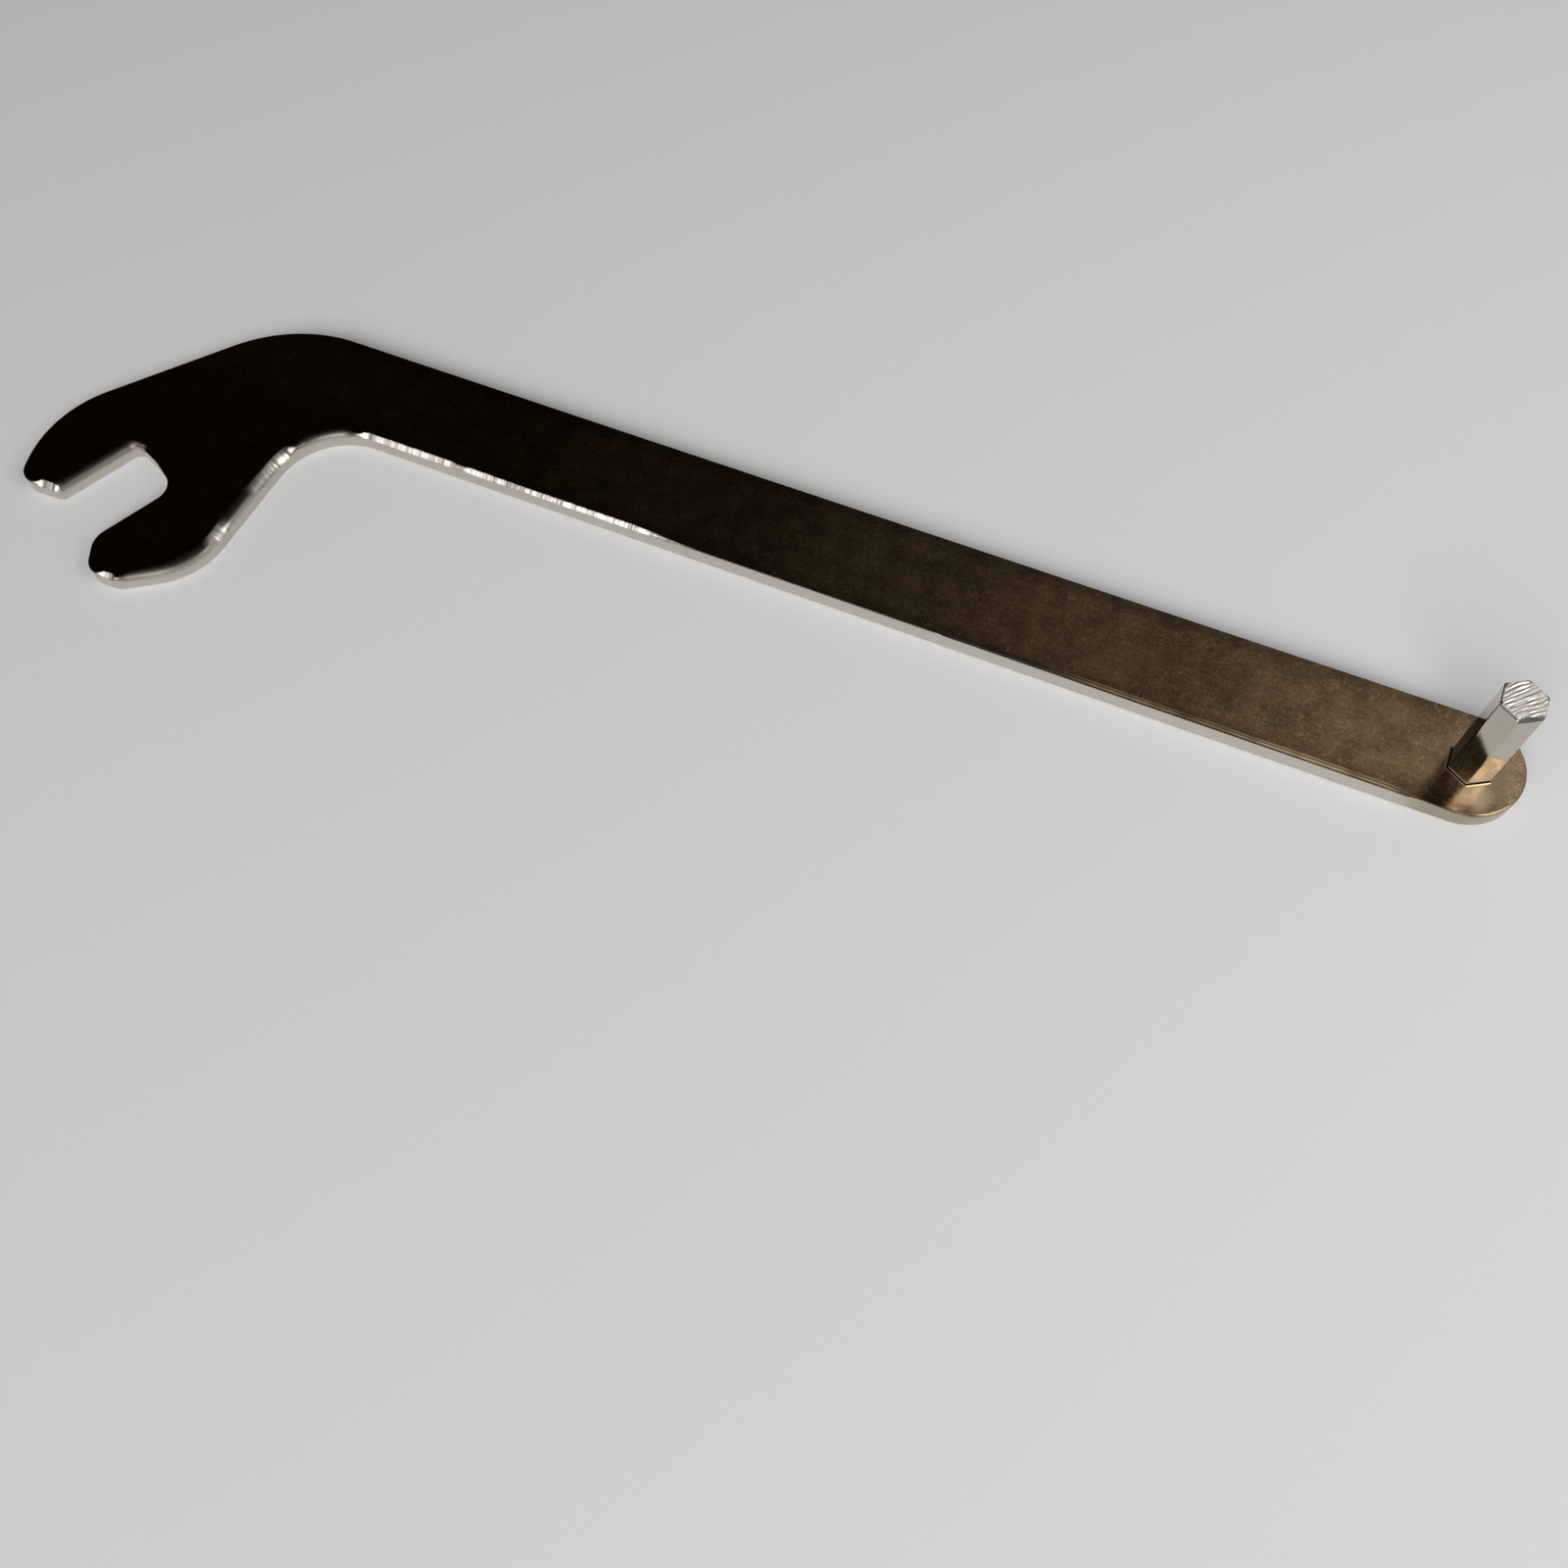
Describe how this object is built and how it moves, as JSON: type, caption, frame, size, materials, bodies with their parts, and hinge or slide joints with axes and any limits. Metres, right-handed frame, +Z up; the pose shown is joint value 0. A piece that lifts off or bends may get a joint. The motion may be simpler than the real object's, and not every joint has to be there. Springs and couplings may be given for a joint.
{
  "type": "convertible top key",
  "caption": "Flat steel hand key for winding a convertible top: a straight bar with a hooked open jaw at one end and an upright hexagonal drive stud at the other.",
  "frame": {"origin": "on the underside, below the middle of the tool's bounding box", "axes": "+X along the bar from the jaw to the stud, +Y away from the side the jaw hooks to, +Z up along the stud"},
  "size_m": [0.2342, 0.0554, 0.0225],
  "materials": {
    "lever_steel": "burnished dark brown face, bright ground edges, straw heat tint round the stud",
    "stud_steel": "bright drawn hexagon bar with a rough sawn top",
    "weld_steel": "weld metal ground flush"
  },
  "bodies": {
    "root": {"lever_plate": "lever_steel", "hex_stud": "stud_steel", "back_weld": "weld_steel"}
  },
  "joints": []
}
